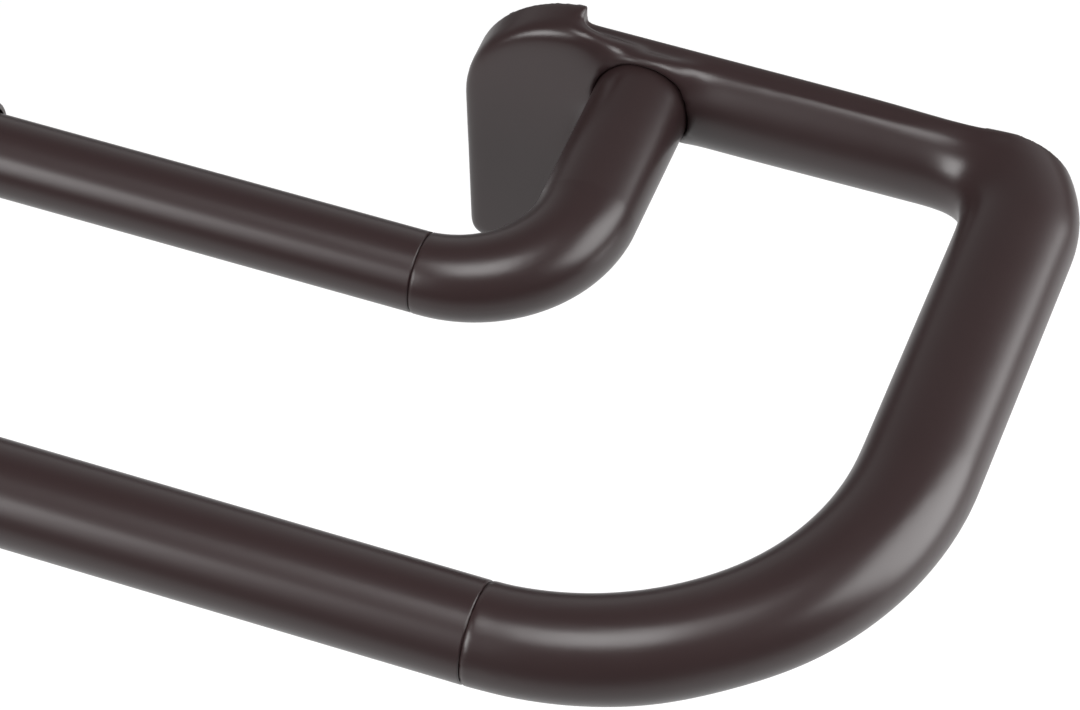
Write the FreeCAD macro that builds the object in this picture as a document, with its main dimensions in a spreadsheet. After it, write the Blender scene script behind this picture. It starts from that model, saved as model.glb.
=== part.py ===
import FreeCAD, Part
import math
import os
import Sketcher

# Double curtain pole: a telescopic front rod that wraps round to the wall, a thinner telescopic rear rod on
# its own small elbows, and at each end one bracket casting that is fixed on a hidden wall plate.
# Frame: X along the rods, +Y towards the wall, +Z up. The wall is the plane Y = 0, and the origin lies
# midway between the two screw holes of the left wall plate. Lengths are in millimetres.

doc = FreeCAD.newDocument("double_curtain_pole")
sheet = doc.addObject("Spreadsheet::Sheet", "sizes")

DRIVING = {
    # layout
    "front_reach": 115,            # wall to the front rod's axis
    "rod_spacing": 63,             # front rod's axis to the rear rod's axis
    "return_span": 766,            # between the two return arms' axes, as set in the photograph
    # telescopic tubes
    "front_outer_dia": 19,
    "front_inner_dia": 16,
    "rear_outer_dia": 16,
    "rear_inner_dia": 13,
    "tube_wall": 0.8,
    "front_mouth_gap": 107,        # outer tube's mouth to the right elbow's joint
    "rear_mouth_gap": 74,
    "hidden_gap": 107,             # inner tube's hidden end to the left elbow's joint
    "tube_edge": 0.2,              # deburred edge of each tube end
    # bracket casting
    "return_dia": 19,
    "front_bend": 51.5,            # centre-line radius of the front elbow
    "corner_bend": 15,             # centre-line radius of the corner at the wall
    "bar_behind_wall": 1,          # the wall bar's axis lies this far behind the wall plane
    "bar_radius": 9.4,             # wall bar beside the rear elbow
    "bar_waist_radius": 9.15,      # wall bar where it flares into the corner
    "flare_length": 10,
    "bar_flat": 8.75,              # flats above and below the bar, each this far from its axis
    "flat_end": 20,                # return axis to where the flats begin to run out
    "flat_fade": 16,               # length over which they run out into the corner
    "shield_depth": 7,
    "shield_inner_edge": 74.1,     # return axis to the shield's edge on the bar's side
    "shield_width": 21,            # the radius of its arch too
    "shield_foot_inset": 0.7,      # the outer edge leans in towards the foot
    "shield_top": 12.7,            # above the rod axis
    "shield_foot": 42,             # below the rod axis
    "shield_corner": 3,
    "shield_round": 2,             # rounded front edge
    "inner_round": 1.2,            # front edge of the shield below the bar
    "shield_under_bar": 9,         # below the rod axis, where the bar's underside meets the shield
    "blend_length": 9.1,           # from the shield's edge to the plain half-round bar
    "notch_start": 76,             # return axis to the end of the bar's upper flat, behind the shield's top
    "notch_fillet": 1.2,
    "notch_lean": 2.2,             # the notch's front leans this far towards the room at the shield's top
    # rear elbow
    "rear_offset": 64.5,           # return axis to the rear elbow's straight axis
    "rear_bend": 20,
    "root_dia": 16,
    "seat_floor": 2.5,             # metal left between the elbow's seat and the wall
    # joints between castings and tubes
    "spigot_length": 18,
    "spigot_fit": 0.05,            # radial clearance of every plug-in fit
    "shoulder_edge": 0.3,
    "grub_dia": 4,
    "grub_inset": 9,               # tube end to the grub screw's axis
    "grub_length": 4,
    "grub_sink": 0.3,              # outer end of the grub screw below the tube's surface
    "socket_dia": 2.2,
    "socket_depth": 2,
    # sliding fit inside the tubes
    "glide_fit": 0.05,
    "glide_head": 10,
    "glide_stub": 12,
    "glide_round": 1,
    "bush_length": 12,
    "bush_recess": 4,
    # hidden wall plate and its lock screw
    "plate_width": 13,
    "plate_thickness": 3,
    "plate_top": 5,                # below the rod axis
    "foot_margin": 5,              # plate's foot to the shield's foot
    "plate_corner": 1.5,
    "hook": 1.2,                   # bevelled hook along the plate's top
    "hook_play": 0.1,
    "drop": 1.5,                   # room under the plate for lifting the bracket off its hook
    "head_room": 1,                # in front of the plate, for the wall screws' heads
    "screw_hole": 4.5,
    "screw_hole_inset": 6,         # hole centres to the plate's top and foot
    "screw_hole_sink": 1.8,
    "lock_dia": 3,
    "lock_from_wall": 2,
    "lock_sink": 0.3,
    # countersunk screw that holds the rear elbow
    "elbow_screw_dia": 4,
    "elbow_screw_length": 13,
    "elbow_screw_head": 1.9,
    "head_sink": 0.1,
    "cross_width": 1,
    "cross_depth": 1.4,
}
DERIVED = {
    "front_y": "-front_reach",
    "rear_y": "rod_spacing - front_reach",
    "shield_outer_edge": "shield_inner_edge + shield_width",
    "shield_middle": "shield_inner_edge + shield_width / 2",
    "shield_spring": "shield_width - shield_top",
    "left_x": "-shield_middle",
    "right_x": "return_span - shield_middle",
    "front_joint": "front_bend",
    "rear_joint": "rear_offset + rear_bend",
    "front_outer_length": "return_span - 2 * front_joint - front_mouth_gap",
    "rear_outer_length": "return_span - 2 * rear_joint - rear_mouth_gap",
    "front_inner_length": "return_span - 2 * front_joint - hidden_gap",
    "rear_inner_length": "return_span - 2 * rear_joint - hidden_gap",
    "blend_end": "shield_inner_edge - blend_length",
    "flat_depth": "sqrt(bar_radius ^ 2 - bar_flat ^ 2) - bar_behind_wall",
    "plate_foot": "shield_foot - foot_margin",
    "rod_rise": "(plate_top + plate_foot) / 2",
    "screw_hole_pitch": "plate_foot - plate_top - 2 * screw_hole_inset",
    "pocket_depth": "plate_thickness + head_room",
}


def fill_sheet():
    for row, (name, number) in enumerate(DRIVING.items(), start=1):
        sheet.set("A%d" % row, name)
        sheet.set("B%d" % row, str(number))
        sheet.setAlias("B%d" % row, name)
    for row, (name, formula) in enumerate(DERIVED.items(), start=len(DRIVING) + 1):
        sheet.set("A%d" % row, name)
        sheet.set("B%d" % row, "=" + formula)
        sheet.setAlias("B%d" % row, name)
    doc.recompute()


def num(expression):
    """The present value of an expression, used only to draw a sketch near its solution"""
    found = sheet.evalExpression(expression)
    return float(getattr(found, "Value", found))


def new_body(name, x="0", y="0", z="0"):
    """A sub-part, placed by three expressions"""
    body = doc.addObject("PartDesign::Body", name)
    body.Label = name
    for axis, expression in zip("xyz", (x, y, z)):
        body.setExpression("Placement.Base." + axis, expression)
    return body


def new_sketch(body, name, role, x="0", y="0", lift="0", turn=0):
    """A sketch on one of the body's own planes, shifted by expressions and turned about its upright axis"""
    sketch = body.newObject("Sketcher::SketchObject", body.Name + "_" + name)
    plane = [item for item in body.Origin.OriginFeatures if item.Role == role][0]
    sketch.AttachmentSupport = [(plane, "")]
    sketch.MapMode = "FlatFace"
    turned = FreeCAD.Rotation(FreeCAD.Vector(0, 1, 0), turn)
    sketch.AttachmentOffset = FreeCAD.Placement(FreeCAD.Vector(), turned)
    for axis, expression in zip("xyz", (x, y, lift)):
        sketch.setExpression("AttachmentOffset.Base." + axis, expression)
    return sketch


def pin(sketch, geometry, point, x, y):
    """Hold a sketch point at two expressions from the sketch's origin"""
    for kind, expression in (("DistanceX", x), ("DistanceY", y)):
        index = sketch.addConstraint(Sketcher.Constraint(kind, -1, 1, geometry, point, num(expression)))
        sketch.setExpression("Constraints[%d]" % index, expression)


def add_circle(sketch, radius, x="0", y="0"):
    centre = FreeCAD.Vector(num(x), num(y), 0)
    circle = sketch.addGeometry(Part.Circle(centre, FreeCAD.Vector(0, 0, 1), num(radius)))
    pin(sketch, circle, 3, x, y)
    index = sketch.addConstraint(Sketcher.Constraint("Radius", circle, num(radius)))
    sketch.setExpression("Constraints[%d]" % index, radius)


def arc_between(start, end, radius, side):
    """The short arc from start to end, with its centre left (side 1) or right (side -1) of the chord"""
    chord = end - start
    height = math.sqrt(max(radius ** 2 - (chord.Length / 2) ** 2, 0))
    left = FreeCAD.Vector(-chord.y, chord.x, 0).normalize()
    centre = (start + end) * 0.5 + left * side * height
    circle = Part.Circle(centre, FreeCAD.Vector(0, 0, 1), radius)
    first = math.atan2(start.y - centre.y, start.x - centre.x)
    last = math.atan2(end.y - centre.y, end.x - centre.x)
    if side > 0:
        return Part.ArcOfCircle(circle, first, last)
    return Part.ArcOfCircle(circle, last, first)


def add_outline(sketch, points, arcs=None):
    """A closed outline through points given as expression pairs. arcs maps the number of a side to the radius
    of the arc that takes its place and the side of the chord on which its centre lies"""
    arcs = arcs or {}
    spots = [FreeCAD.Vector(num(x), num(y), 0) for x, y in points]
    ends = []
    for number, start in enumerate(spots):
        end = spots[(number + 1) % len(spots)]
        if number in arcs:
            radius, side = arcs[number]
            geometry = sketch.addGeometry(arc_between(start, end, num(radius), side))
            ends.append((geometry, 1, 2) if side > 0 else (geometry, 2, 1))
        else:
            geometry = sketch.addGeometry(Part.LineSegment(start, end))
            ends.append((geometry, 1, 2))
    for number, (geometry, _, last) in enumerate(ends):
        following, first, _ = ends[(number + 1) % len(ends)]
        sketch.addConstraint(Sketcher.Constraint("Coincident", geometry, last, following, first))
    for (geometry, first, _), (x, y) in zip(ends, points):
        pin(sketch, geometry, first, x, y)
    for number, (radius, _) in arcs.items():
        index = sketch.addConstraint(Sketcher.Constraint("Radius", ends[number][0], num(radius)))
        sketch.setExpression("Constraints[%d]" % index, radius)


def rectangle(sketch, x0, x1, y0, y1):
    add_outline(sketch, [(x0, y0), (x1, y0), (x1, y1), (x0, y1)])


def extrude(body, kind, sketch, length, reverse=False, both=False):
    """A Pad or a Pocket of a sketch. A pad grows along the sketch's normal, a pocket cuts against it"""
    feature = body.newObject("PartDesign::" + kind, sketch.Name + "_" + kind.lower())
    feature.Profile = sketch
    feature.setExpression("Length", length)
    feature.Reversed = reverse
    if both:
        feature.Midplane = True
    recompute_checked(feature)
    return feature


def revolve(body, sketch, axis):
    feature = body.newObject("PartDesign::Revolution", sketch.Name + "_turned")
    feature.Profile = sketch
    feature.ReferenceAxis = (sketch, [axis])
    feature.Angle = 360
    recompute_checked(feature)
    return feature


def loft(body, name, sections):
    feature = body.newObject("PartDesign::AdditiveLoft", body.Name + "_" + name)
    feature.Profile = sections[0]
    feature.Sections = sections[1:]
    recompute_checked(feature)
    return feature


def round_edges(body, name, feature, chosen, radius, kind="Fillet"):
    """Fillet or chamfer the edges of the last feature for which chosen(edge) is true"""
    names = ["Edge%d" % (number + 1) for number, edge in enumerate(feature.Shape.Edges) if chosen(edge)]
    if not names:
        raise RuntimeError("no edge found for " + name)
    dressed = body.newObject("PartDesign::" + kind, body.Name + "_" + name)
    dressed.Base = (feature, names)
    dressed.setExpression("Radius" if kind == "Fillet" else "Size", radius)
    recompute_checked(dressed)
    return dressed


def recompute_checked(feature):
    doc.recompute()
    if "Invalid" in feature.State or "Error" in feature.State or feature.Shape.isNull():
        raise RuntimeError("%s failed: %s" % (feature.Name, feature.State))


def near(first, second, tolerance=1e-3):
    return abs(first - second) < tolerance


def tapered_bend(body, name, side, joint, axis_y, bend, first_radius, last_radius, sections=7):
    """A quarter bend from the rod's direction to the wall's, lofted through circles that grow evenly"""
    circles = []
    for number in range(sections):
        share = number / (sections - 1)
        angle = 90 * share
        sine, cosine = math.sin(math.radians(angle)), math.cos(math.radians(angle))
        sketch = new_sketch(
            body, "%s_%d" % (name, number), "XZ_Plane",
            x="%d * (%.9f * %s - %s)" % (side, sine, bend, joint),
            lift="-(%s + (1 - %.9f) * %s)" % (axis_y, cosine, bend),
            turn=side * (angle - 90))
        add_circle(sketch, "%s + (%s - %s) * %.9f" % (first_radius, last_radius, first_radius, share))
        circles.append(sketch)
    return loft(body, name, circles)


def add_spigot(body, side, joint, axis_y, tube_dia):
    """The round plug that enters a tube, with its grub screw's hole in the underside. It starts at the bend's
    shoulder and points away from the return arm"""
    radius = "(%s / 2 - sizes.tube_wall - sizes.spigot_fit)" % tube_dia
    plug = new_sketch(body, "spigot", "YZ_Plane", lift="%d * -%s" % (side, joint))
    add_circle(plug, radius, x=axis_y)
    extrude(body, "Pad", plug, "sizes.spigot_length", reverse=side > 0)
    hole = new_sketch(body, "spigot_hole", "XY_Plane", lift="-%s" % radius)
    add_circle(hole, "sizes.grub_dia / 2 + sizes.spigot_fit",
               x="%d * -(%s + sizes.grub_inset)" % (side, joint), y=axis_y)
    reach = "sizes.grub_sink + sizes.grub_length - sizes.tube_wall"
    return extrude(body, "Pocket", hole, reach, reverse=True)


def bevel_shoulder(body, side, joint, axis_y, radius):
    """A small bevel round the shoulder, so that the joint with the tube shows as a thin dark line"""
    x, y, r = side * -num(joint), num(axis_y), num(radius)

    def on_shoulder(edge):
        return all(near(spot.X, x) and near(math.hypot(spot.Y - y, spot.Z), r, 0.02)
                   for spot in edge.Vertexes)
    return round_edges(body, "shoulder", body.Tip, on_shoulder, "sizes.shoulder_edge", "Chamfer")


def shield_outline(body, side):
    """Front view of the shield: a leaning outer edge, a smooth arch and a straight inner edge"""
    sketch = new_sketch(body, "shield", "XZ_Plane")
    inner = "%d * -sizes.shield_inner_edge" % side
    outer = "%d * -sizes.shield_outer_edge" % side
    foot = "%d * -(sizes.shield_outer_edge - sizes.shield_foot_inset)" % side
    add_outline(sketch, [(foot, "-sizes.shield_foot"), (outer, "-sizes.shield_spring"),
                         (inner, "sizes.shield_top"), (inner, "-sizes.shield_under_bar"),
                         (inner, "-sizes.shield_foot")], {1: ("sizes.shield_width", -side)})
    return sketch


def end_bracket(name, side, return_x, tube_dia):
    """One casting: spigot, tapered front elbow, return arm, corner, half-round wall bar and hollow shield.
    side is 1 at the right end and -1 at the left, and local x = 0 is the return arm's axis"""
    body = new_body(name, return_x, "0", "sizes.rod_rise")
    tube_radius, return_radius = "%s / 2" % tube_dia, "sizes.return_dia / 2"
    tapered_bend(body, "front_elbow", side, "sizes.front_joint", "sizes.front_y", "sizes.front_bend",
                 tube_radius, return_radius)

    arm = new_sketch(body, "arm_section", "XZ_Plane", lift="-(sizes.front_y + sizes.front_bend)")
    add_circle(arm, return_radius)
    route = new_sketch(body, "arm_route", "XY_Plane")
    corner_y = "sizes.bar_behind_wall - sizes.corner_bend"
    corner_x = "%d * -sizes.corner_bend" % side
    start = FreeCAD.Vector(0, num("sizes.front_y + sizes.front_bend"), 0)
    turn_in = FreeCAD.Vector(0, num(corner_y), 0)
    turn_out = FreeCAD.Vector(num(corner_x), num("sizes.bar_behind_wall"), 0)
    straight = route.addGeometry(Part.LineSegment(start, turn_in))
    bend = route.addGeometry(arc_between(turn_in, turn_out, num("sizes.corner_bend"), side))
    first, last = (1, 2) if side > 0 else (2, 1)
    route.addConstraint(Sketcher.Constraint("Coincident", straight, 2, bend, first))
    pin(route, straight, 1, "0", "sizes.front_y + sizes.front_bend")
    pin(route, straight, 2, "0", corner_y)
    pin(route, bend, last, corner_x, "sizes.bar_behind_wall")
    radius = route.addConstraint(Sketcher.Constraint("Radius", bend, num("sizes.corner_bend")))
    route.setExpression("Constraints[%d]" % radius, "sizes.corner_bend")
    pipe = body.newObject("PartDesign::AdditivePipe", body.Name + "_arm")
    pipe.Profile = arm
    pipe.Spine = (route, [])
    recompute_checked(pipe)

    # the wall bar is turned about an axis just behind the wall, and flares into the corner
    bar = new_sketch(body, "bar", "XY_Plane", y="sizes.bar_behind_wall")
    waist = "%d * -(sizes.corner_bend + sizes.flare_length)" % side
    end = "%d * -sizes.blend_end" % side
    sag = "(%s - sizes.bar_waist_radius)" % return_radius
    flare = "(sizes.flare_length ^ 2 + %s ^ 2) / (2 * %s)" % (sag, sag)
    add_outline(bar, [(corner_x, "0"), (corner_x, "-" + return_radius), (waist, "-sizes.bar_waist_radius"),
                      (end, "-sizes.bar_radius"), (end, "0")], {1: (flare, side)})
    revolve(body, bar, "H_Axis")

    extrude(body, "Pad", shield_outline(body, side), "sizes.shield_depth")
    inner, foot = side * -num("sizes.shield_inner_edge"), -num("sizes.shield_foot")
    front = -num("sizes.shield_depth")
    outer_foot = side * -(num("sizes.shield_outer_edge") - num("sizes.shield_foot_inset"))

    def foot_corner(edge):
        return all(near(spot.Z, foot) and near(spot.X, outer_foot) for spot in edge.Vertexes)
    corner = round_edges(body, "foot_corner", body.Tip, foot_corner, "sizes.shield_corner")

    def front_edge(edge):
        box = edge.BoundBox
        on_front = near(box.YMin, front) and near(box.YMax, front)
        return on_front and side * box.Center.x < side * inner - 0.1
    round_edges(body, "shield_front", corner, front_edge, "sizes.shield_round")

    # the shield's front flows into the half-round bar
    near_side = new_sketch(body, "blend_start", "YZ_Plane", lift="%d * -sizes.shield_inner_edge" % side)
    drop = "(sizes.shield_under_bar - sizes.shield_depth)"
    add_outline(near_side, [("0", "-sizes.shield_under_bar"), ("-sizes.shield_depth", "-" + drop),
                            ("-sizes.shield_depth", "sizes.shield_top - sizes.shield_round"),
                            ("-sizes.shield_depth + sizes.shield_round", "sizes.shield_top"),
                            ("0", "sizes.shield_top")],
                {0: ("sizes.shield_depth", -1), 2: ("sizes.shield_round", -1)})
    far_side = new_sketch(body, "blend_stop", "YZ_Plane", lift="%d * -sizes.blend_end" % side)
    back = "sqrt(sizes.bar_radius ^ 2 - sizes.bar_behind_wall ^ 2)"
    points = [("0", "-" + back), ("sizes.bar_behind_wall - sizes.bar_radius", "0")]
    for degrees in (50, 75):
        points.append(("sizes.bar_behind_wall - sizes.bar_radius * %.9f" % math.cos(math.radians(degrees)),
                       "sizes.bar_radius * %.9f" % math.sin(math.radians(degrees))))
    points.append(("0", back))
    add_outline(far_side, points, {number: ("sizes.bar_radius", -1) for number in range(4)})
    loft(body, "blend", [near_side, far_side])

    # below the bar the shield's inner front edge is rounded too
    trim = new_sketch(body, "inner_trim", "XY_Plane", x="%d * -sizes.shield_inner_edge" % side,
                      y="-sizes.shield_depth", lift="-sizes.shield_foot")
    back_off = "%d * -sizes.inner_round" % side
    add_outline(trim, [("0", "sizes.inner_round"), (str(side), "sizes.inner_round"), (str(side), "-1"),
                       (back_off, "-1"), (back_off, "0")], {4: ("sizes.inner_round", side)})
    extrude(body, "Pocket", trim, "sizes.shield_foot - sizes.shield_under_bar", reverse=True)

    # flats above and below the bar. The upper one ends in a notch behind the shield's top
    fade = "(sizes.flat_fade ^ 2 + %s ^ 2) / (2 * %s)" % (("(%s - sizes.bar_flat)" % return_radius,) * 2)
    for cut, up, start in (("lower_flat", -1, "shield_inner_edge"), ("notch", 1, "notch_start")):
        flat = new_sketch(body, cut, "XZ_Plane")
        height, beyond = "%d * sizes.bar_flat" % up, "%d * (sizes.shield_top + 1)" % up
        flat_start, flat_end = "%d * -sizes.%s" % (side, start), "%d * -sizes.flat_end" % side
        fade_end = "%d * (sizes.flat_fade - sizes.flat_end)" % side
        add_outline(flat, [(flat_start, height), (flat_end, height),
                           (fade_end, "%d * %s" % (up, return_radius)), (fade_end, beyond),
                           (flat_start, beyond)], {1: (fade, side * up)})
        notched = extrude(body, "Pocket", flat, "sizes.flat_depth", reverse=True)
    notch_x, step = side * -num("sizes.notch_start"), num("sizes.bar_flat")

    def notch_corner(edge):
        return all(near(spot.X, notch_x) and near(spot.Z, step) for spot in edge.Vertexes)
    round_edges(body, "notch_corner", notched, notch_corner, "sizes.notch_fillet")
    lean = new_sketch(body, "notch_lean", "YZ_Plane", lift="%d * -sizes.notch_start" % side)
    over = "sizes.shield_top + 1"
    add_outline(lean, [("-sizes.flat_depth", "sizes.bar_flat"), ("-sizes.flat_depth", over),
                       ("-(sizes.flat_depth + sizes.notch_lean)", over)])
    extrude(body, "Pocket", lean, "sizes.notch_start - sizes.blend_end", reverse=side > 0)

    # everything behind the wall plane goes
    behind = new_sketch(body, "wall_plane", "XZ_Plane")
    margin = "(sizes.return_dia * 2)"
    rectangle(behind, "%d * -(sizes.shield_outer_edge + %s)" % (side, margin), "%d * %s" % (side, margin),
              "-%s" % margin, margin)
    extrude(body, "Pocket", behind, margin)

    seat = new_sketch(body, "seat", "XZ_Plane", lift="sizes.seat_floor")
    add_circle(seat, "sizes.root_dia / 2 + sizes.spigot_fit", x="%d * -sizes.rear_offset" % side)
    extrude(body, "Pocket", seat, "sizes.root_dia", reverse=True)
    screw = new_sketch(body, "screw_way", "XZ_Plane")
    add_circle(screw, "sizes.elbow_screw_dia / 2 + sizes.spigot_fit", x="%d * -sizes.rear_offset" % side)
    hole = extrude(body, "Pocket", screw, "sizes.seat_floor", reverse=True)

    def screw_mouth(edge):
        axis_x, way = side * -num("sizes.rear_offset"), num("sizes.elbow_screw_dia / 2 + sizes.spigot_fit")
        return all(near(spot.Y, 0) and near(math.hypot(spot.X - axis_x, spot.Z), way, 0.01)
                   for spot in edge.Vertexes)
    round_edges(body, "screw_sink", hole, screw_mouth, "sizes.elbow_screw_head", "Chamfer")

    # hollow back for the wall plate, undercut along its top for the hook
    hollow = new_sketch(body, "hollow", "YZ_Plane", lift="%d * -sizes.shield_middle" % side)
    top = "(sizes.hook_play - sizes.plate_top)"
    low = "-(sizes.plate_foot + sizes.drop)"
    add_outline(hollow, [("0", low), ("0", top), ("-sizes.hook", top + " + sizes.hook"),
                         ("-sizes.pocket_depth", top + " + sizes.hook"), ("-sizes.pocket_depth", low)])
    extrude(body, "Pocket", hollow, "sizes.plate_width + 2 * sizes.hook_play", both=True)
    lock = new_sketch(body, "lock_way", "XY_Plane", lift="-sizes.shield_foot")
    add_circle(lock, "sizes.lock_dia / 2 + sizes.spigot_fit",
               x="%d * -sizes.shield_middle" % side, y="-sizes.lock_from_wall")
    extrude(body, "Pocket", lock, "sizes.shield_foot - sizes.plate_foot - sizes.drop / 2", reverse=True)

    add_spigot(body, side, "sizes.front_joint", "sizes.front_y", tube_dia)
    bevel_shoulder(body, side, "sizes.front_joint", "sizes.front_y", tube_radius)
    return body


def rear_elbow(name, side, return_x, tube_dia):
    """Small elbow: spigot, tapered bend, and a plain root that enters the round seat in the wall bar"""
    body = new_body(name, return_x, "0", "sizes.rod_rise")
    first, last = "%s / 2" % tube_dia, "sizes.root_dia / 2"
    tapered_bend(body, "bend", side, "sizes.rear_joint", "sizes.rear_y", "sizes.rear_bend", first, last)
    axis_x = "%d * -sizes.rear_offset" % side
    root = new_sketch(body, "root", "XZ_Plane", lift="sizes.seat_floor")
    add_circle(root, last, x=axis_x)
    extrude(body, "Pad", root, "-(sizes.rear_y + sizes.rear_bend) - sizes.seat_floor")
    tap = new_sketch(body, "tapped_hole", "XZ_Plane", lift="sizes.seat_floor")
    add_circle(tap, "sizes.elbow_screw_dia / 2 + sizes.spigot_fit", x=axis_x)
    extrude(body, "Pocket", tap, "sizes.elbow_screw_length - sizes.seat_floor + 1", reverse=True)
    add_spigot(body, side, "sizes.rear_joint", "sizes.rear_y", tube_dia)
    bevel_shoulder(body, side, "sizes.rear_joint", "sizes.rear_y", first)
    return body


def tube(name, x, y, dia, length, hole_at_start):
    """A drawn tube along X with deburred ends, and the grub screw's hole in the underside of one end"""
    body = new_body(name, x, y, "sizes.rod_rise")
    ring = new_sketch(body, "section", "YZ_Plane")
    add_circle(ring, "%s / 2" % dia)
    add_circle(ring, "%s / 2 - sizes.tube_wall" % dia)
    pad = extrude(body, "Pad", ring, length)

    def outer_rim(edge):
        return near(edge.BoundBox.ZLength, num(dia)) and near(edge.BoundBox.XLength, 0)
    round_edges(body, "ends", pad, outer_rim, "sizes.tube_edge", "Chamfer")
    hole = new_sketch(body, "grub_hole", "XY_Plane")
    at = "sizes.grub_inset" if hole_at_start else "%s - sizes.grub_inset" % length
    add_circle(hole, "sizes.grub_dia / 2 + sizes.spigot_fit", x=at)
    extrude(body, "Pocket", hole, dia)
    return body


def glide_plug(name, x, y, outer_dia, inner_dia):
    """Nylon plug on the hidden end of an inner tube: a round-edged head that slides in the outer tube, and a
    stub in the inner tube's bore. Local x = 0 is the tube's end and the head points to -X"""
    body = new_body(name, x, y, "sizes.rod_rise")
    head = "(%s / 2 - sizes.tube_wall - sizes.glide_fit)" % outer_dia
    stub = "(%s / 2 - sizes.tube_wall - sizes.spigot_fit)" % inner_dia
    edge = "sizes.glide_round"
    sketch = new_sketch(body, "profile", "XZ_Plane")
    add_outline(sketch, [("-sizes.glide_head", "0"), ("-sizes.glide_head", head + " - " + edge),
                         ("-sizes.glide_head + " + edge, head), ("0", head), ("0", stub),
                         ("sizes.glide_stub", stub), ("sizes.glide_stub", "0")], {1: (edge, -1)})
    revolve(body, sketch, "H_Axis")
    return body


def mouth_bush(name, x, y, outer_dia, inner_dia):
    """Nylon ring that fills the gap between the two tubes, just inside the outer tube's mouth"""
    body = new_body(name, x, y, "sizes.rod_rise")
    ring = new_sketch(body, "section", "YZ_Plane")
    add_circle(ring, "%s / 2 - sizes.tube_wall" % outer_dia)
    add_circle(ring, "%s / 2 + sizes.glide_fit" % inner_dia)
    extrude(body, "Pad", ring, "sizes.bush_length")
    return body


def wall_plate(name, x):
    """Steel plate with a bevelled hook along its top and two countersunk screw holes"""
    body = new_body(name, x, "0", "sizes.rod_rise")
    side_view = new_sketch(body, "side_view", "YZ_Plane")
    top, low = "-sizes.plate_top", "-sizes.plate_foot"
    crest = top + " + sizes.hook"
    add_outline(side_view, [("0", low), ("0", top), ("-sizes.hook", crest),
                            ("-sizes.plate_thickness", crest), ("-sizes.plate_thickness", low)])
    pad = extrude(body, "Pad", side_view, "sizes.plate_width", both=True)

    def foot_corner(edge):
        box = edge.BoundBox
        return near(box.ZMax, num(low)) and near(box.XLength, 0) and near(box.ZLength, 0)
    round_edges(body, "corners", pad, foot_corner, "sizes.plate_corner")
    holes = new_sketch(body, "screw_holes", "XZ_Plane")
    for sign in (1, -1):
        height = "-sizes.rod_rise + %d * sizes.screw_hole_pitch / 2" % sign
        add_circle(holes, "sizes.screw_hole / 2", y=height)
    cut = extrude(body, "Pocket", holes, "sizes.plate_thickness", reverse=True)

    def front_rim(edge):
        box = edge.BoundBox
        return near(box.YMax, -num("sizes.plate_thickness")) and near(box.XLength, num("sizes.screw_hole"))
    round_edges(body, "countersinks", cut, front_rim, "sizes.screw_hole_sink", "Chamfer")
    return body


def grub_screw(name, x, y, z, dia, length):
    """Headless screw standing along Z with a hexagon socket in its lower end. Local z = 0 is that end"""
    body = new_body(name, x, y, z)
    shank = new_sketch(body, "shank", "XY_Plane")
    add_circle(shank, "%s / 2" % dia)
    extrude(body, "Pad", shank, length)
    socket = new_sketch(body, "socket", "XY_Plane")
    across = "(sizes.socket_dia * %s / (2 * sizes.grub_dia))" % dia
    corners = []
    for number in range(6):
        angle = math.radians(60 * number)
        corners.append(("%s * %.9f" % (across, math.cos(angle)), "%s * %.9f" % (across, math.sin(angle))))
    add_outline(socket, corners)
    extrude(body, "Pocket", socket, "sizes.socket_depth", reverse=True)
    return body


def elbow_screw(name, x):
    """Countersunk cross-head screw, driven from the wall side into the rear elbow's root"""
    body = new_body(name, x, "-sizes.head_sink", "sizes.rod_rise")
    shank = "sizes.elbow_screw_dia / 2"
    head = "(%s + sizes.elbow_screw_head - sizes.head_sink)" % shank
    profile = new_sketch(body, "profile", "XY_Plane")
    add_outline(profile, [("0", "0"), (head, "0"), (shank, "-(sizes.elbow_screw_head - sizes.head_sink)"),
                          (shank, "-(sizes.elbow_screw_length - sizes.head_sink)"),
                          ("0", "-(sizes.elbow_screw_length - sizes.head_sink)")])
    revolve(body, profile, "V_Axis")
    half, arm = "sizes.cross_width / 2", "sizes.elbow_screw_dia / 2"
    for number, (across, up) in enumerate(((half, arm), (arm, half))):
        slot = new_sketch(body, "cross_%d" % number, "XZ_Plane")
        rectangle(slot, "-" + across, across, "-" + up, up)
        extrude(body, "Pocket", slot, "sizes.cross_depth", reverse=True)
    return body


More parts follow.
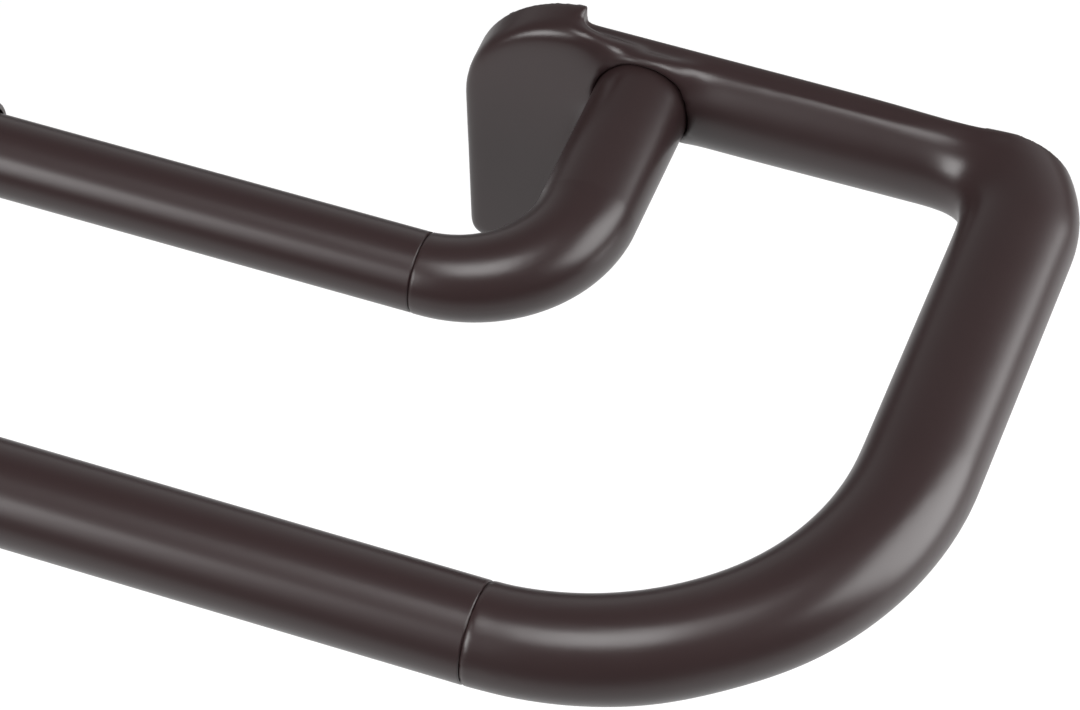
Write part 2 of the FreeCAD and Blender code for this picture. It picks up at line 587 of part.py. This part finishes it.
def build():
    fill_sheet()
    parts = []
    ends = (("left", -1, "sizes.left_x", "sizes.front_outer_dia", "sizes.rear_outer_dia"),
            ("right", 1, "sizes.right_x", "sizes.front_inner_dia", "sizes.rear_inner_dia"))
    for name, side, return_x, front_dia, rear_dia in ends:
        parts.append(end_bracket(name + "_end_bracket", side, return_x, front_dia))
        parts.append(rear_elbow(name + "_rear_elbow", side, return_x, rear_dia))
        plate_x = "%s - %d * sizes.shield_middle" % (return_x, side)
        parts.append(wall_plate(name + "_wall_plate", plate_x))
        parts.append(grub_screw(name + "_plate_lock_screw", plate_x, "-sizes.lock_from_wall",
                                "sizes.rod_rise - sizes.shield_foot + sizes.lock_sink", "sizes.lock_dia",
                                "sizes.shield_foot - sizes.plate_foot - sizes.lock_sink"))
        parts.append(elbow_screw(name + "_elbow_screw", "%s - %d * sizes.rear_offset" % (return_x, side)))
        for rod, dia in (("front", front_dia), ("rear", rear_dia)):
            parts.append(grub_screw("%s_%s_tube_grub" % (name, rod),
                                    "%s - %d * (sizes.%s_joint + sizes.grub_inset)" % (return_x, side, rod),
                                    "sizes.%s_y" % rod, "sizes.rod_rise - %s / 2 + sizes.grub_sink" % dia,
                                    "sizes.grub_dia", "sizes.grub_length"))
    for rod in ("front", "rear"):
        y, outer_dia, inner_dia = ("sizes.%s_%s" % (rod, word) for word in ("y", "outer_dia", "inner_dia"))
        outer_x = "sizes.left_x + sizes.%s_joint" % rod
        inner_x = "sizes.right_x - sizes.%s_joint - sizes.%s_inner_length" % (rod, rod)
        bush_x = "%s + sizes.%s_outer_length - sizes.bush_recess - sizes.bush_length" % (outer_x, rod)
        parts.append(tube(rod + "_outer_tube", outer_x, y, outer_dia, "sizes.%s_outer_length" % rod, True))
        parts.append(tube(rod + "_inner_tube", inner_x, y, inner_dia, "sizes.%s_inner_length" % rod, False))
        parts.append(glide_plug(rod + "_glide_plug", inner_x, y, outer_dia, inner_dia))
        parts.append(mouth_bush(rod + "_mouth_bush", bush_x, y, outer_dia, inner_dia))
    return parts


def check_and_export(parts):
    for item in doc.Objects:
        if "Invalid" in item.State or "Error" in item.State:
            raise RuntimeError("%s is %s" % (item.Name, item.State))
    for body in parts:
        shape = body.Shape
        if shape.isNull() or not shape.isValid() or len(shape.Solids) != 1:
            raise RuntimeError("%s has no single valid solid" % body.Label)
    os.makedirs("parts", exist_ok=True)
    for body in parts:
        body.Shape.exportStep("parts/%s.step" % body.Label)
        box = body.Shape.BoundBox
        print("%-24s %9.1f mm3  x %.1f..%.1f  y %.1f..%.1f  z %.1f..%.1f" % (
            body.Label, body.Shape.Volume, box.XMin, box.XMax, box.YMin, box.YMax, box.ZMin, box.ZMax))


check_and_export(build())
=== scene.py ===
# %% [markdown]
# # A double curtain pole, seen close to its right end
#
# The real object is a telescopic front rod that wraps round to the wall, a thinner rod behind it on its own
# small elbows, and a wall bracket with a shield-shaped plate at each end. All of it that shows is covered in
# one satin, dark bronze lacquer. Every shape here has to fit or slide, so the shapes come ready made from the
# measured part. This lesson gives them their finish, then lights and frames them as in the photograph.

# %% The frame
import bmesh
import bpy
import math
import numpy as np
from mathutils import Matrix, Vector
from mathutils.bvhtree import BVHTree


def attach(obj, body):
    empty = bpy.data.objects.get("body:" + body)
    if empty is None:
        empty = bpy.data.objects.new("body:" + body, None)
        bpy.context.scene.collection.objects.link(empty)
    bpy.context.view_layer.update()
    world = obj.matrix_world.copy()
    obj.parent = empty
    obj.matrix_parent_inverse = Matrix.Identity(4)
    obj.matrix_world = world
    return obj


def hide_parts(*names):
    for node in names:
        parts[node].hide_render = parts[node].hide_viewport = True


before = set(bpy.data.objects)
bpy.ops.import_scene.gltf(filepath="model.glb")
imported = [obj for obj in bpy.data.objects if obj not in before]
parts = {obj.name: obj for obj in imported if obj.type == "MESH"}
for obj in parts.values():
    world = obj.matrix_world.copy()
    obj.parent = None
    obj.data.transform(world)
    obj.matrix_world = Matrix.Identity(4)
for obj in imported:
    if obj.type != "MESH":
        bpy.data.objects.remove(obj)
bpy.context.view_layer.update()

# %% [markdown]
# ## Camera
#
# The photographer stands in front of the right end, a little to its right, and looks down at about 49
# degrees. The two rods stay nearly parallel in the picture, which means a long lens from some distance. The
# place and the lens were fitted to the rods' edges, the joint lines and the bends, so we type them in. The
# focal length was found in pixels, and Blender wants it in millimetres on a sensor of a known width.

# %% Camera
PHOTO_WIDTH = 1080
FOCAL_PIXELS = 5117.33
STANDPOINT = Vector((0.79717, -0.541285, 0.614741))
LOOKED_AT = Vector((0.630366, -0.089737, 0.055924))

lens = bpy.data.cameras.new("long_lens")
lens.sensor_width = 36
lens.lens = FOCAL_PIXELS / PHOTO_WIDTH * lens.sensor_width
camera = bpy.data.objects.new("long_lens", lens)
bpy.context.scene.collection.objects.link(camera)
camera.location = STANDPOINT
camera.rotation_euler = (LOOKED_AT - STANDPOINT).to_track_quat("-Z", "Y").to_euler()
bpy.context.scene.camera = camera
print("lens:", round(lens.lens, 1), "mm, distance:", round((LOOKED_AT - STANDPOINT).length, 3), "m")

# %% [markdown]
# ## What every sprayed or moulded skin shares
#
# No real skin is perfectly even. Sprayed lacquer dries with a very fine ripple, and its gloss wanders a
# little from place to place. Both could be painted as pictures, but a few noise textures in object space do
# it without a seam and at any distance. They go into one node group, so that each material can set its own
# amounts: it gives out a colour that is mottled a little, a roughness and a height for the bump.


# %% A group for uneven skins
def noise_at(tree, coordinates, scale, detail):
    noise = tree.nodes.new("ShaderNodeTexNoise")
    noise.inputs["Scale"].default_value = scale
    noise.inputs["Detail"].default_value = detail
    tree.links.new(coordinates, noise.inputs["Vector"])
    return noise.outputs["Fac"]


def sums(tree, operation, first, second):
    node = tree.nodes.new("ShaderNodeMath")
    node.operation = operation
    for socket, value in zip(node.inputs, (first, second)):
        if isinstance(value, (int, float)):
            socket.default_value = value
        else:
            tree.links.new(value, socket)
    return node.outputs[0]


def uneven_skin():
    """The group: mottled colour, wandering gloss and a fine ripple over a slow waviness"""
    group = bpy.data.node_groups.new("uneven_skin", "ShaderNodeTree")
    for name, kind, start in (("Colour", "NodeSocketColor", (0.05, 0.05, 0.05, 1)),
                              ("Mottle", "NodeSocketFloat", 0.05), ("Gloss", "NodeSocketFloat", 0.35),
                              ("Gloss Wander", "NodeSocketFloat", 0.03), ("Ripple", "NodeSocketFloat", 0.5),
                              ("Waviness", "NodeSocketFloat", 0.5), ("Stretch", "NodeSocketVector", (1, 1, 1))):
        group.interface.new_socket(name, in_out="INPUT", socket_type=kind).default_value = start
    for name, kind in (("Colour", "NodeSocketColor"), ("Roughness", "NodeSocketFloat"),
                       ("Height", "NodeSocketFloat")):
        group.interface.new_socket(name, in_out="OUTPUT", socket_type=kind)
    given, made = group.nodes.new("NodeGroupInput"), group.nodes.new("NodeGroupOutput")
    place = group.nodes.new("ShaderNodeTexCoord")
    stretched = group.nodes.new("ShaderNodeVectorMath")
    stretched.operation = "MULTIPLY"
    group.links.new(place.outputs["Object"], stretched.inputs[0])
    group.links.new(given.outputs["Stretch"], stretched.inputs[1])
    where = stretched.outputs[0]

    blotches = sums(group, "SUBTRACT", noise_at(group, where, 60, 3), 0.5)
    gain = sums(group, "ADD", sums(group, "MULTIPLY", blotches, given.outputs["Mottle"]), 1.0)
    colour = group.nodes.new("ShaderNodeVectorMath")
    colour.operation = "SCALE"
    group.links.new(given.outputs["Colour"], colour.inputs[0])
    group.links.new(gain, colour.inputs["Scale"])
    group.links.new(colour.outputs[0], made.inputs["Colour"])

    cloud = sums(group, "SUBTRACT", noise_at(group, where, 140, 4), 0.5)
    wander = sums(group, "MULTIPLY", cloud, given.outputs["Gloss Wander"])
    group.links.new(sums(group, "ADD", given.outputs["Gloss"], wander), made.inputs["Roughness"])

    ripple = sums(group, "MULTIPLY", noise_at(group, where, 1900, 2), given.outputs["Ripple"])
    waves = sums(group, "MULTIPLY", noise_at(group, where, 110, 1), given.outputs["Waviness"])
    group.links.new(sums(group, "ADD", ripple, waves), made.inputs["Height"])
    return group


SKIN = uneven_skin()
print("group:", SKIN.name, "with", len(SKIN.nodes), "nodes")

# %% [markdown]
# ## Materials
#
# One function builds every finish: a Principled shader, the skin group and a bump. The bump's distance is
# the real height of the ripple, about a hundredth of a millimetre, so it stays gentle under any light.
# Sharp edges of a casting are never knife sharp once they are lacquered, and a thin light line runs along
# them. A Bevel node gives the shader a rounded normal there, which costs no geometry.


# %% Building a finish
def finish(name, colour, gloss, metallic=0.0, specular=0.5, bump=0.0, edge=0.0, **skin_values):
    material = bpy.data.materials.new(name)
    material.use_nodes = True
    nodes, links = material.node_tree.nodes, material.node_tree.links
    shader = nodes["Principled BSDF"]
    shader.inputs["Metallic"].default_value = metallic
    shader.inputs["Specular IOR Level"].default_value = specular
    skin = nodes.new("ShaderNodeGroup")
    skin.node_tree = SKIN
    skin.inputs["Colour"].default_value = colour
    skin.inputs["Gloss"].default_value = gloss
    for socket, value in skin_values.items():
        skin.inputs[socket.replace("_", " ").title()].default_value = value
    links.new(skin.outputs["Colour"], shader.inputs["Base Color"])
    links.new(skin.outputs["Roughness"], shader.inputs["Roughness"])
    relief = nodes.new("ShaderNodeBump")
    relief.inputs["Distance"].default_value = bump
    relief.inputs["Strength"].default_value = 1.0
    links.new(skin.outputs["Height"], relief.inputs["Height"])
    if edge:
        rounded = nodes.new("ShaderNodeBevel")
        rounded.samples = 6
        rounded.inputs["Radius"].default_value = edge
        links.new(rounded.outputs["Normal"], relief.inputs["Normal"])
    links.new(relief.outputs["Normal"], shader.inputs["Normal"])
    return material


BRONZE = (0.029, 0.0165, 0.0167, 1)
cast_lacquer = finish("bronze_lacquer_on_casting", BRONZE, 0.305, bump=0.000012, edge=0.0008,
                      mottle=0.10, gloss_wander=0.05, ripple=0.10, waviness=1.6)
tube_lacquer = finish("bronze_lacquer_on_tube", BRONZE, 0.30, bump=0.000008, edge=0.0002,
                      mottle=0.08, gloss_wander=0.04, ripple=0.12, waviness=1.0, stretch=(0.15, 1, 1))
print("lacquers:", cast_lacquer.name, tube_lacquer.name)

# %% [markdown]
# ## The hidden pieces
#
# The wall plates and the countersunk screws are zinc plated steel, a bright grey metal with brushed
# streaks. The grub screws are blackened steel, and the plugs and rings inside the tubes are moulded nylon.
# Nobody sees them once the pole is up, but they show when the pole is pulled apart or turned over.

# %% Zinc, black steel and nylon
zinc = finish("zinc_plated_steel", (0.55, 0.56, 0.58, 1), 0.34, metallic=1.0, bump=0.000006,
              mottle=0.25, gloss_wander=0.16, ripple=0.8, waviness=0.3, stretch=(0.2, 1, 1))
black_steel = finish("blackened_steel", (0.022, 0.022, 0.024, 1), 0.42, metallic=0.6, bump=0.000006,
                     mottle=0.2, gloss_wander=0.08, ripple=0.6, waviness=0.2)
nylon = finish("moulded_nylon", (0.03, 0.03, 0.031, 1), 0.52, bump=0.000008,
               mottle=0.1, gloss_wander=0.05, ripple=0.5, waviness=0.6)

dressed = {}
for name, part in parts.items():
    if "lock_screw" in name or "grub" in name:
        material = black_steel
    elif "wall_plate" in name or "elbow_screw" in name:
        material = zinc
    elif "plug" in name or "bush" in name:
        material = nylon
    elif "tube" in name:
        material = tube_lacquer
    else:
        material = cast_lacquer
    part.data.materials.clear()
    part.data.materials.append(material)
    dressed.setdefault(material.name, []).append(name)
for name, wearers in dressed.items():
    print(name + ":", ", ".join(sorted(wearers)))

# %% [markdown]
# ## Why the castings are softened
#
# A casting has no sharp corner anywhere. Its wall bar isn't quite half round either: the front is part of a
# wider arc and meets the flat top in a soft crease, which draws a thin light line along the bar. And the seat
# of the small elbow has a rolled rim. Such soft forms are easier to reach in mesh code than in exact solids.
#
# We copy the measured casting, set a plain ring round the seat, and cover the whole with an even net of small
# squares, which joins the two. Then the bar's skin goes out to the wider arc, and neighbouring points average
# each other until the corners are round. At the wall and at the tube joint the net goes back to the measured
# surface, because those edges are crisp. First come the places that all of this is measured from.

# %% Where the bar and the seat lie
ROD_HEIGHT = 0.021
ARM_LEFT, ARM_RIGHT = -0.0846, 0.6814
BAR_AXIS_Y, BAR_RADIUS, BAR_FLAT = 0.001, 0.0094, 0.00875
SEAT_INWARD = 0.0645


def smooth_step(value, start, end):
    """0 before the start, 1 after the end, and an even S curve between them"""
    t = np.clip((value - start) / (end - start), 0, 1)
    return t * t * (3 - 2 * t)


def bell(value, middle, spread):
    return np.exp(-((value - middle) / spread) ** 2)


def from_arm(x, body):
    """Distance along the bar, from the return arm's axis inward"""
    return ARM_RIGHT - x if body == "sliding_end" else x - ARM_LEFT


print("seats at x =", round(ARM_LEFT + SEAT_INWARD, 4), "and", round(ARM_RIGHT - SEAT_INWARD, 4))

# %% [markdown]
# ### A wider arc on the bar
#
# Seen from the bar's axis, the skin lies at the radius of the half round, or nearer where the flats cut it.
# The new skin lies on an arc of a wider circle that touches the old one in front, and the flats still cut
# it. Only points near the skin move, and the change fades out towards the corner and the shield.

# %% Wider arc
WIDER_RADIUS = 0.0106
ARC_FADES_IN, ARC_FADES_OUT = (0.010, 0.022), (0.060, 0.075)
SKIN_FROM, SKIN_TO = (0.0075, 0.0084), 0.0102


def fuller_bar(points, inward):
    """Moves the bar's skin from the half round to the wider arc and returns the largest move"""
    out, up = BAR_AXIS_Y - points[:, 1], points[:, 2] - ROD_HEIGHT
    reach = np.hypot(out, up)
    cos, sin = np.abs(out) / reach, np.abs(up) / reach
    flat = BAR_FLAT / np.maximum(sin, 1e-6)
    was = np.minimum(BAR_RADIUS, flat)
    back = WIDER_RADIUS - BAR_RADIUS
    wanted = np.minimum(np.sqrt(WIDER_RADIUS ** 2 - (back * sin) ** 2) - back * cos, flat)
    share = smooth_step(inward, *ARC_FADES_IN) * (1 - smooth_step(inward, *ARC_FADES_OUT))
    share = share * smooth_step(reach, *SKIN_FROM) * (out > 0) * (reach < SKIN_TO)
    push = share * (wanted - was) / reach
    points[:, 1] -= push * out
    points[:, 2] += push * up
    return np.abs(push * reach).max()


print("front of the bar: radius", BAR_RADIUS * 1000, "mm goes to", WIDER_RADIUS * 1000, "mm")

# %% [markdown]
# ### A rim round the seat
#
# A round hole in a round bar has a pointed mouth, but the photograph shows a round one with a soft lip. The
# ring gives the seat a level mouth: a sloped collar above the elbow, and only a thin lip below it, where the
# bar's own skin already stands far enough out.

# %% Ring for the rim
RIM_PROFILE = ((0.0080, 0.0036), (0.0128, 0.0036), (0.0098, 0.0064), (0.0080, 0.0064))
RIM_LOWEST, RIM_HIGHEST, RIM_LIP = -0.0089, 0.0097, 0.0002
RIM_TURNS = 72


def add_rim(mesh, centre_x):
    """Adds a closed ring round the small elbow's seat. Its profile is given as radius and distance out"""
    work = bmesh.new()
    work.from_mesh(mesh)
    angles = [2 * math.pi * k / RIM_TURNS for k in range(RIM_TURNS)]
    rounds = []
    for radius, out in RIM_PROFILE:
        corners = []
        for angle in angles:
            up = min(max(radius * math.sin(angle), RIM_LOWEST), RIM_HIGHEST)
            skin = math.sqrt(max(BAR_RADIUS ** 2 - up ** 2, 0)) - BAR_AXIS_Y + RIM_LIP
            y = -out if up > 0 else -min(out, skin)
            corners.append(work.verts.new((centre_x + radius * math.cos(angle), y, ROD_HEIGHT + up)))
        rounds.append(corners)
    faces = [work.faces.new((here[k], here[k - 1], there[k - 1], there[k]))
             for here, there in zip(rounds, rounds[1:] + rounds[:1]) for k in range(RIM_TURNS)]
    bmesh.ops.recalc_face_normals(work, faces=faces)
    work.to_mesh(mesh)
    work.free()


print("ring:", RIM_TURNS, "steps round, from", RIM_PROFILE[0][0] * 1000, "to", RIM_PROFILE[1][0] * 1000, "mm")

# %% [markdown]
# ### An even net
#
# The measured mesh has long thin triangles on flat faces and short ones in the bends, and averaging would
# pull them unevenly. A voxel remesh covers the same form with squares of half a millimetre.

# %% Net
NET_SQUARE = 0.00047
WELD_GAP = 0.000002


def net_over(name, mesh):
    """An object whose mesh is an even net over the given one"""
    piece = bpy.data.objects.new(name, mesh)
    bpy.context.scene.collection.objects.link(piece)
    weld = piece.modifiers.new("weld", "WELD")
    weld.merge_threshold = WELD_GAP
    net = piece.modifiers.new("net", "REMESH")
    net.mode, net.voxel_size, net.use_smooth_shade = "VOXEL", NET_SQUARE, True
    bpy.context.view_layer.update()
    netted = bpy.data.meshes.new_from_object(piece.evaluated_get(bpy.context.evaluated_depsgraph_get()))
    piece.modifiers.clear()
    piece.data = netted
    return piece


print("squares of", NET_SQUARE * 1000, "mm")

# %% [markdown]
# ### Averaging
#
# In each round every point goes halfway to the middle of its neighbours. A few rounds over the whole casting
# take off the sharp edges. The blends at the corner and round the seat are much softer in the photograph,
# so many more rounds follow there, while the rim itself takes only a small share of them. The arm and the
# elbow barely change, because averaging leaves gentle curves alone.

# %% Averaging
HALFWAY = 0.5
ROUNDS_ALL_OVER, ROUNDS_IN_BLENDS = 6, 140
SEAT_BLEND, CORNER_BLEND = (0.0665, 0.0125), (0.014, 0.008)
RIM_SHARE, ROUND_RIM_SHARE, RIM_EDGE = 0.10, 0.80, (0.0096, 0.0120)
BACK_SHARE, FRONT_SHARE = 0.3, 0.7


def blend_share(points, inward):
    """How far each point takes part in the extra rounds"""
    off_seat = np.hypot(inward - SEAT_INWARD, points[:, 2] - ROD_HEIGHT)
    near_seat = bell(inward, *SEAT_BLEND) * smooth_step(-points[:, 1], 0.0005, 0.003)
    near_seat = near_seat * (RIM_SHARE + ROUND_RIM_SHARE * smooth_step(off_seat, *RIM_EDGE))
    near_corner = bell(inward, *CORNER_BLEND)
    near_corner = near_corner * (BACK_SHARE + FRONT_SHARE * smooth_step(-points[:, 1], 0.003, 0.006))
    return np.maximum(near_seat, near_corner)[:, None]


def average(points, mesh, extra):
    """Rounds of averaging along the mesh's edges"""
    ends = np.empty(len(mesh.edges) * 2, dtype=np.int64)
    mesh.edges.foreach_get("vertices", ends)
    first, second = ends.reshape(-1, 2).T
    count = np.bincount(ends, minlength=len(points))[:, None]
    for step in range(ROUNDS_ALL_OVER + ROUNDS_IN_BLENDS):
        total = np.zeros_like(points)
        for axis in range(3):
            total[:, axis] = (np.bincount(first, points[second, axis], len(points))
                              + np.bincount(second, points[first, axis], len(points)))
        share = HALFWAY if step < ROUNDS_ALL_OVER else HALFWAY * extra
        points += share * (total / count - points)


print("rounds:", ROUNDS_ALL_OVER, "all over,", ROUNDS_IN_BLENDS, "in the blends")

# %% [markdown]
# ### Back to the measured surface
#
# Averaging has rounded the edge that meets the wall and the edge that meets the tube, and both have to be
# exact. Points there go to the nearest place on the measured casting, with a short fade beside them.

# %% Crisp edges
WALL_FADE, JOINT_FADE, ELBOW_FRONT = (-0.0030, -0.0012), (0.001, 0.004), -0.1


def back_to_measured(points, inward, measured, joint_inward):
    surface = BVHTree.FromObject(measured, bpy.context.evaluated_depsgraph_get())
    at_joint = 1 - smooth_step(np.abs(inward - joint_inward), *JOINT_FADE)
    at_joint = (points[:, 1] < ELBOW_FRONT) * at_joint
    crisp = np.maximum(smooth_step(points[:, 1], *WALL_FADE), at_joint)
    for index in np.flatnonzero(crisp > 0):
        nearest = surface.find_nearest(Vector(points[index]))[0]
        points[index] += crisp[index] * (np.array(nearest) - points[index])


print("crisp within", -WALL_FADE[1] * 1000, "mm of the wall and", JOINT_FADE[0] * 1000, "mm of the joint")

# %% [markdown]
# ### Both castings
#
# The steps run in order on each end bracket. Where the corner's top stands higher than the bar's flat, it
# comes down towards it before the averaging, so that the bar's top line runs on round the corner. Close to the
# wall the last step takes that back again. The softened piece then takes the measured one's place, rides on
# the same body and keeps its material.

# %% Softened castings
LEVEL_Y, LEVEL_FADE, LEVEL_END = (-0.012, -0.004), (0.006, 0.014), 0.030


def softened(name, body, joint_inward):
    copy = parts[name].data.copy()
    add_rim(copy, ARM_RIGHT - SEAT_INWARD if body == "sliding_end" else ARM_LEFT + SEAT_INWARD)
    piece = net_over(name + "_softened", copy)
    mesh = piece.data
    points = np.empty(len(mesh.vertices) * 3)
    mesh.vertices.foreach_get("co", points)
    points = points.reshape(-1, 3)
    inward = from_arm(points[:, 0], body)
    moved = fuller_bar(points, inward)
    too_high = np.maximum(points[:, 2] - ROD_HEIGHT - BAR_FLAT, 0)
    near_wall = smooth_step(points[:, 1], *LEVEL_Y) * smooth_step(inward, *LEVEL_FADE)
    points[:, 2] -= too_high * near_wall * (inward < LEVEL_END)
    average(points, mesh, blend_share(points, inward))
    back_to_measured(points, inward, parts[name], joint_inward)
    mesh.vertices.foreach_set("co", points.ravel())
    mesh.update()
    mesh.materials.clear()
    mesh.materials.append(cast_lacquer)
    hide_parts(name)
    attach(piece, body)
    print(piece.name, len(mesh.polygons), "squares, bar moved by up to", round(moved * 1000, 2), "mm")


right_tube_end = max(corner[0] for corner in parts["front_inner_tube"].bound_box)
left_tube_end = min(corner[0] for corner in parts["front_outer_tube"].bound_box)
softened("right_end_bracket", "sliding_end", from_arm(right_tube_end, "sliding_end"))
softened("left_end_bracket", "fixed_end", from_arm(left_tube_end, "fixed_end"))

# %% [markdown]
# ## Floor and surroundings
#
# The photograph has a pure white background and no shadow that shows. We could pour more light on a white
# floor until it burns out, but the pole would burn out with it. Instead the floor is a board that lies well
# below and takes the pole's soft shadow, and it adds white for the rays that come straight from the camera or
# through glass. For mirror rays the board glows with a painted pool of light, strong near the pole and dimmer
# further out. The world is shared out in the same way: white for the camera, and for everything else a soft
# fade from dark in front of the pole to pale behind and below it, because that is what the streaks on the tubes
# show.


# %% Who sees what
FLOOR_SHOWN, WORLD_SHOWN = 0.7, 0.9


def seen_as(tree, path, shown, otherwise):
    """A strength of shown for rays from the camera or through glass, and of otherwise for all others"""
    seen = sums(tree, "MAXIMUM", path.outputs["Is Camera Ray"], path.outputs["Is Transmission Ray"])
    return sums(tree, "MAXIMUM", sums(tree, "MULTIPLY", seen, shown), otherwise)


def ramp(tree, value, begins, ends, first, last):
    """A value that goes from first to last while the given one goes from begins to ends"""
    node = tree.nodes.new("ShaderNodeMapRange")
    for socket, number in (("From Min", begins), ("From Max", ends), ("To Min", first), ("To Max", last)):
        node.inputs[socket].default_value = number
    tree.links.new(value, node.inputs["Value"])
    return node.outputs[0]


print("shown to the camera: floor", FLOOR_SHOWN, "world", WORLD_SHOWN)

# %% Floor
bpy.ops.mesh.primitive_plane_add(size=60, location=(0.5, -0.1, -0.6))
floor = bpy.context.object
floor.name = "white_board"
board = bpy.data.materials.new("white_board")
board.use_nodes = True
tree = board.node_tree
paint = tree.nodes["Principled BSDF"]
paint.inputs["Base Color"].default_value = (0.4, 0.4, 0.4, 1)
paint.inputs["Roughness"].default_value = 0.9
paint.inputs["Emission Color"].default_value = (1, 1, 1, 1)
where = tree.nodes.new("ShaderNodeTexCoord")
distance = tree.nodes.new("ShaderNodeVectorMath")
distance.operation = "LENGTH"
tree.links.new(where.outputs["Object"], distance.inputs[0])
# Painted pool of light: for mirror rays the board glows, strongly near the pole and fading with distance.
painted_glow = ramp(tree, distance.outputs["Value"], 0.9, 1.9, 0.45, 0.05)
path = tree.nodes.new("ShaderNodeLightPath")
mirrored = sums(tree, "MULTIPLY", path.outputs["Is Glossy Ray"], painted_glow)
tree.links.new(seen_as(tree, path, FLOOR_SHOWN, mirrored), paint.inputs["Emission Strength"])
floor.data.materials.append(board)
print("floor at z =", round(floor.location.z, 2), "m")

# %% World
world = bpy.data.worlds.new("dim_studio")
bpy.context.scene.world = world
world.use_nodes = True
sky = world.node_tree
direction = sky.nodes.new("ShaderNodeTexCoord")
backwards = sky.nodes.new("ShaderNodeVectorMath")
backwards.operation = "DOT_PRODUCT"
backwards.inputs[1].default_value = (0, 0.85, -0.5)
sky.links.new(direction.outputs["Generated"], backwards.inputs[0])
fade = ramp(sky, backwards.outputs["Value"], 0.1, 0.8, 0.12, 0.75)
path = sky.nodes.new("ShaderNodeLightPath")
sky.links.new(seen_as(sky, path, WORLD_SHOWN, fade), sky.nodes["Background"].inputs["Strength"])
sky.nodes["Background"].inputs["Color"].default_value = (1, 1, 1, 1)
print("world:", world.name, "with", len(sky.nodes), "nodes")

# %% [markdown]
# ## Lamps
#
# The lacquer tells where the lamps stood. Each bright streak on a rod or an elbow is a softbox seen in a
# curved mirror, so its direction follows from the surface's slope. Three of them explain nearly all of it:
# one almost overhead, one far to the right at the height of the pole, and one at the front left. Only the
# small bright spot where the bar meets the corner comes out lower than in the photograph. We place each lamp
# by its bearing (0 is straight in front, 90 is to the right) and its height angle.


# %% Softboxes
LIT_PLACE = Vector((0.60, -0.06, 0.02))


def softbox(name, bearing, height, distance, width, tall, radiance, lean=0):
    turn, rise = math.radians(bearing), math.radians(height)
    towards = Vector((math.sin(turn) * math.cos(rise), -math.cos(turn) * math.cos(rise), math.sin(rise)))
    data = bpy.data.lights.new(name, "AREA")
    data.shape = "RECTANGLE"
    data.size, data.size_y = width, tall
    data.energy = radiance * math.pi * width * tall
    lamp = bpy.data.objects.new(name, data)
    bpy.context.scene.collection.objects.link(lamp)
    lamp.location = LIT_PLACE + towards * distance
    lamp.rotation_euler = (-towards).to_track_quat("-Z", "Y").to_euler()
    lamp.rotation_euler.rotate_axis("Z", math.radians(lean))
    lamp.visible_camera = False
    print(name, "at", [round(c, 2) for c in lamp.location], "power", round(data.energy, 1), "W")


softbox("overhead_softbox", 22, 71, 1.4, 0.72, 0.72, 7.4)
softbox("right_softbox", 105, 12, 1.5, 1.1, 1.5, 5.6, lean=22)
softbox("front_left_softbox", -41, 22, 1.15, 0.66, 0.66, 7.8)
bpy.context.scene.view_settings.view_transform = "Standard"
